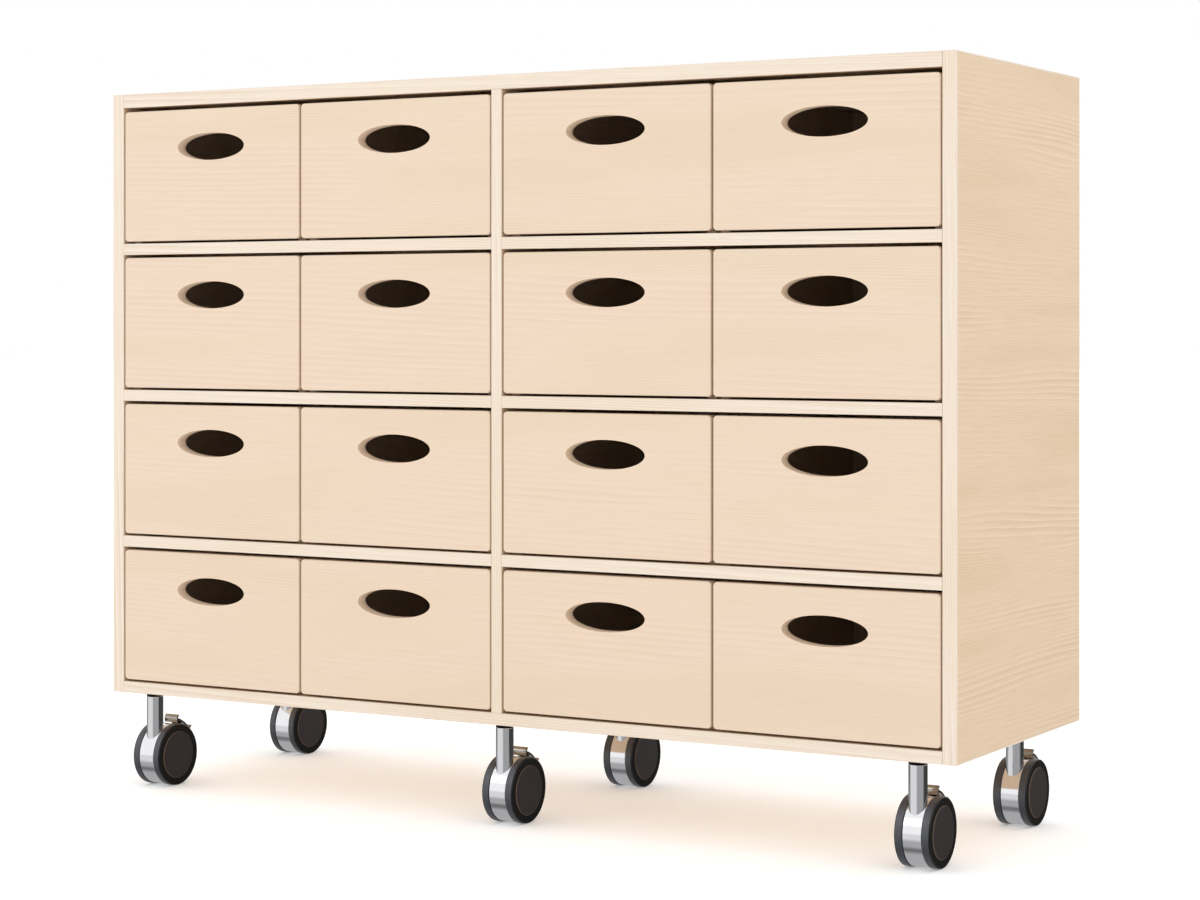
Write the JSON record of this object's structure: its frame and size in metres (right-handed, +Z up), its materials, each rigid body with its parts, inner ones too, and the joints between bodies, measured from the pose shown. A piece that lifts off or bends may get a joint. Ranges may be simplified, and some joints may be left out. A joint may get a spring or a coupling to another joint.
{
  "type": "classroom tray storage unit",
  "caption": "Mobile wooden cabinet with rows of pull-out wooden trays, each with an oval finger hole, on braked twin-wheel castors.",
  "frame": {"origin": "on the floor, under the middle of the unit", "axes": "+X to the right as seen from the front, +Y towards the back, +Z up; the tray fronts face -Y"},
  "size_m": [1.224, 0.4, 0.9325],
  "materials": {
    "board_wood": "matt lacquered light wood laminate with edge banding",
    "tray_wood": "matt lacquered light wood laminate",
    "chrome": "polished chrome plate",
    "black_steel": "black oxide",
    "wheel_rubber": "smooth dark grey tread on a dark brown-black hub"
  },
  "bodies": {
    "carcass": {"side_panel_left": "board_wood", "side_panel_right": "board_wood", "top_panel": "board_wood", "bottom_panel": "board_wood", "centre_divider": "board_wood", "shelf_left_1": "board_wood", "shelf_left_2": "board_wood", "shelf_left_3": "board_wood", "shelf_right_1": "board_wood", "shelf_right_2": "board_wood", "shelf_right_3": "board_wood", "back_panel": "board_wood", "castor_front_left_pin": "black_steel", "castor_front_middle_pin": "black_steel", "castor_front_right_pin": "black_steel", "castor_rear_left_pin": "black_steel", "castor_rear_middle_pin": "black_steel", "castor_rear_right_pin": "black_steel"},
    "tray_r1_c1": {"tray_r1_c1": "tray_wood"},
    "tray_r1_c2": {"tray_r1_c2": "tray_wood"},
    "tray_r1_c3": {"tray_r1_c3": "tray_wood"},
    "tray_r1_c4": {"tray_r1_c4": "tray_wood"},
    "tray_r2_c1": {"tray_r2_c1": "tray_wood"},
    "tray_r2_c2": {"tray_r2_c2": "tray_wood"},
    "tray_r2_c3": {"tray_r2_c3": "tray_wood"},
    "tray_r2_c4": {"tray_r2_c4": "tray_wood"},
    "tray_r3_c1": {"tray_r3_c1": "tray_wood"},
    "tray_r3_c2": {"tray_r3_c2": "tray_wood"},
    "tray_r3_c3": {"tray_r3_c3": "tray_wood"},
    "tray_r3_c4": {"tray_r3_c4": "tray_wood"},
    "tray_r4_c1": {"tray_r4_c1": "tray_wood"},
    "tray_r4_c2": {"tray_r4_c2": "tray_wood"},
    "tray_r4_c3": {"tray_r4_c3": "tray_wood"},
    "tray_r4_c4": {"tray_r4_c4": "tray_wood"},
    "castor_front_left": {"castor_front_left_housing": "chrome"},
    "castor_front_left_wheel_left": {"castor_front_left_wheel_left": "wheel_rubber"},
    "castor_front_left_wheel_right": {"castor_front_left_wheel_right": "wheel_rubber"},
    "castor_front_left_brake_lever": {"castor_front_left_brake_lever": "chrome"},
    "castor_front_middle": {"castor_front_middle_housing": "chrome"},
    "castor_front_middle_wheel_left": {"castor_front_middle_wheel_left": "wheel_rubber"},
    "castor_front_middle_wheel_right": {"castor_front_middle_wheel_right": "wheel_rubber"},
    "castor_front_middle_brake_lever": {"castor_front_middle_brake_lever": "chrome"},
    "castor_front_right": {"castor_front_right_housing": "chrome"},
    "castor_front_right_wheel_left": {"castor_front_right_wheel_left": "wheel_rubber"},
    "castor_front_right_wheel_right": {"castor_front_right_wheel_right": "wheel_rubber"},
    "castor_front_right_brake_lever": {"castor_front_right_brake_lever": "chrome"},
    "castor_rear_left": {"castor_rear_left_housing": "chrome"},
    "castor_rear_left_wheel_left": {"castor_rear_left_wheel_left": "wheel_rubber"},
    "castor_rear_left_wheel_right": {"castor_rear_left_wheel_right": "wheel_rubber"},
    "castor_rear_left_brake_lever": {"castor_rear_left_brake_lever": "chrome"},
    "castor_rear_middle": {"castor_rear_middle_housing": "chrome"},
    "castor_rear_middle_wheel_left": {"castor_rear_middle_wheel_left": "wheel_rubber"},
    "castor_rear_middle_wheel_right": {"castor_rear_middle_wheel_right": "wheel_rubber"},
    "castor_rear_middle_brake_lever": {"castor_rear_middle_brake_lever": "chrome"},
    "castor_rear_right": {"castor_rear_right_housing": "chrome"},
    "castor_rear_right_wheel_left": {"castor_rear_right_wheel_left": "wheel_rubber"},
    "castor_rear_right_wheel_right": {"castor_rear_right_wheel_right": "wheel_rubber"},
    "castor_rear_right_brake_lever": {"castor_rear_right_brake_lever": "chrome"}
  },
  "joints": [
    {"name": "tray_r1_c1_slide", "type": "slide", "parent": "carcass", "child": "tray_r1_c1", "axis": [0, -1, 0], "range_m": [0, 0.38]},
    {"name": "tray_r1_c2_slide", "type": "slide", "parent": "carcass", "child": "tray_r1_c2", "axis": [0, -1, 0], "range_m": [0, 0.38]},
    {"name": "tray_r1_c3_slide", "type": "slide", "parent": "carcass", "child": "tray_r1_c3", "axis": [0, -1, 0], "range_m": [0, 0.38]},
    {"name": "tray_r1_c4_slide", "type": "slide", "parent": "carcass", "child": "tray_r1_c4", "axis": [0, -1, 0], "range_m": [0, 0.38]},
    {"name": "tray_r2_c1_slide", "type": "slide", "parent": "carcass", "child": "tray_r2_c1", "axis": [0, -1, 0], "range_m": [0, 0.38]},
    {"name": "tray_r2_c2_slide", "type": "slide", "parent": "carcass", "child": "tray_r2_c2", "axis": [0, -1, 0], "range_m": [0, 0.38]},
    {"name": "tray_r2_c3_slide", "type": "slide", "parent": "carcass", "child": "tray_r2_c3", "axis": [0, -1, 0], "range_m": [0, 0.38]},
    {"name": "tray_r2_c4_slide", "type": "slide", "parent": "carcass", "child": "tray_r2_c4", "axis": [0, -1, 0], "range_m": [0, 0.38]},
    {"name": "tray_r3_c1_slide", "type": "slide", "parent": "carcass", "child": "tray_r3_c1", "axis": [0, -1, 0], "range_m": [0, 0.38]},
    {"name": "tray_r3_c2_slide", "type": "slide", "parent": "carcass", "child": "tray_r3_c2", "axis": [0, -1, 0], "range_m": [0, 0.38]},
    {"name": "tray_r3_c3_slide", "type": "slide", "parent": "carcass", "child": "tray_r3_c3", "axis": [0, -1, 0], "range_m": [0, 0.38]},
    {"name": "tray_r3_c4_slide", "type": "slide", "parent": "carcass", "child": "tray_r3_c4", "axis": [0, -1, 0], "range_m": [0, 0.38]},
    {"name": "tray_r4_c1_slide", "type": "slide", "parent": "carcass", "child": "tray_r4_c1", "axis": [0, -1, 0], "range_m": [0, 0.38]},
    {"name": "tray_r4_c2_slide", "type": "slide", "parent": "carcass", "child": "tray_r4_c2", "axis": [0, -1, 0], "range_m": [0, 0.38]},
    {"name": "tray_r4_c3_slide", "type": "slide", "parent": "carcass", "child": "tray_r4_c3", "axis": [0, -1, 0], "range_m": [0, 0.38]},
    {"name": "tray_r4_c4_slide", "type": "slide", "parent": "carcass", "child": "tray_r4_c4", "axis": [0, -1, 0], "range_m": [0, 0.38]},
    {"name": "castor_front_left_swivel", "type": "hinge", "parent": "carcass", "child": "castor_front_left", "pos_m": [-0.556, -0.18, 0.1065], "axis": [0, 0, 1], "continuous": true},
    {"name": "castor_front_left_wheel_left_spin", "type": "hinge", "parent": "castor_front_left", "child": "castor_front_left_wheel_left", "pos_m": [-0.556, -0.158, 0.0415], "axis": [1, 0, 0], "continuous": true},
    {"name": "castor_front_left_wheel_right_spin", "type": "hinge", "parent": "castor_front_left", "child": "castor_front_left_wheel_right", "pos_m": [-0.556, -0.158, 0.0415], "axis": [1, 0, 0], "continuous": true},
    {"name": "castor_front_left_brake", "type": "hinge", "parent": "castor_front_left", "child": "castor_front_left_brake_lever", "pos_m": [-0.556, -0.13975, 0.0696], "axis": [-1, 0, 0], "range_deg": [0, 10]},
    {"name": "castor_front_middle_swivel", "type": "hinge", "parent": "carcass", "child": "castor_front_middle", "pos_m": [0, -0.18, 0.1065], "axis": [0, 0, 1], "continuous": true},
    {"name": "castor_front_middle_wheel_left_spin", "type": "hinge", "parent": "castor_front_middle", "child": "castor_front_middle_wheel_left", "pos_m": [0, -0.158, 0.0415], "axis": [1, 0, 0], "continuous": true},
    {"name": "castor_front_middle_wheel_right_spin", "type": "hinge", "parent": "castor_front_middle", "child": "castor_front_middle_wheel_right", "pos_m": [0, -0.158, 0.0415], "axis": [1, 0, 0], "continuous": true},
    {"name": "castor_front_middle_brake", "type": "hinge", "parent": "castor_front_middle", "child": "castor_front_middle_brake_lever", "pos_m": [0, -0.13975, 0.0696], "axis": [-1, 0, 0], "range_deg": [0, 10]},
    {"name": "castor_front_right_swivel", "type": "hinge", "parent": "carcass", "child": "castor_front_right", "pos_m": [0.556, -0.18, 0.1065], "axis": [0, 0, 1], "continuous": true},
    {"name": "castor_front_right_wheel_left_spin", "type": "hinge", "parent": "castor_front_right", "child": "castor_front_right_wheel_left", "pos_m": [0.556, -0.158, 0.0415], "axis": [1, 0, 0], "continuous": true},
    {"name": "castor_front_right_wheel_right_spin", "type": "hinge", "parent": "castor_front_right", "child": "castor_front_right_wheel_right", "pos_m": [0.556, -0.158, 0.0415], "axis": [1, 0, 0], "continuous": true},
    {"name": "castor_front_right_brake", "type": "hinge", "parent": "castor_front_right", "child": "castor_front_right_brake_lever", "pos_m": [0.556, -0.13975, 0.0696], "axis": [-1, 0, 0], "range_deg": [0, 10]},
    {"name": "castor_rear_left_swivel", "type": "hinge", "parent": "carcass", "child": "castor_rear_left", "pos_m": [-0.556, 0.122, 0.1065], "axis": [0, 0, 1], "continuous": true},
    {"name": "castor_rear_left_wheel_left_spin", "type": "hinge", "parent": "castor_rear_left", "child": "castor_rear_left_wheel_left", "pos_m": [-0.556, 0.144, 0.0415], "axis": [1, 0, 0], "continuous": true},
    {"name": "castor_rear_left_wheel_right_spin", "type": "hinge", "parent": "castor_rear_left", "child": "castor_rear_left_wheel_right", "pos_m": [-0.556, 0.144, 0.0415], "axis": [1, 0, 0], "continuous": true},
    {"name": "castor_rear_left_brake", "type": "hinge", "parent": "castor_rear_left", "child": "castor_rear_left_brake_lever", "pos_m": [-0.556, 0.16225, 0.0696], "axis": [-1, 0, 0], "range_deg": [0, 10]},
    {"name": "castor_rear_middle_swivel", "type": "hinge", "parent": "carcass", "child": "castor_rear_middle", "pos_m": [0, 0.122, 0.1065], "axis": [0, 0, 1], "continuous": true},
    {"name": "castor_rear_middle_wheel_left_spin", "type": "hinge", "parent": "castor_rear_middle", "child": "castor_rear_middle_wheel_left", "pos_m": [0, 0.144, 0.0415], "axis": [1, 0, 0], "continuous": true},
    {"name": "castor_rear_middle_wheel_right_spin", "type": "hinge", "parent": "castor_rear_middle", "child": "castor_rear_middle_wheel_right", "pos_m": [0, 0.144, 0.0415], "axis": [1, 0, 0], "continuous": true},
    {"name": "castor_rear_middle_brake", "type": "hinge", "parent": "castor_rear_middle", "child": "castor_rear_middle_brake_lever", "pos_m": [0, 0.16225, 0.0696], "axis": [-1, 0, 0], "range_deg": [0, 10]},
    {"name": "castor_rear_right_swivel", "type": "hinge", "parent": "carcass", "child": "castor_rear_right", "pos_m": [0.556, 0.122, 0.1065], "axis": [0, 0, 1], "continuous": true},
    {"name": "castor_rear_right_wheel_left_spin", "type": "hinge", "parent": "castor_rear_right", "child": "castor_rear_right_wheel_left", "pos_m": [0.556, 0.144, 0.0415], "axis": [1, 0, 0], "continuous": true},
    {"name": "castor_rear_right_wheel_right_spin", "type": "hinge", "parent": "castor_rear_right", "child": "castor_rear_right_wheel_right", "pos_m": [0.556, 0.144, 0.0415], "axis": [1, 0, 0], "continuous": true},
    {"name": "castor_rear_right_brake", "type": "hinge", "parent": "castor_rear_right", "child": "castor_rear_right_brake_lever", "pos_m": [0.556, 0.16225, 0.0696], "axis": [-1, 0, 0], "range_deg": [0, 10]}
  ]
}
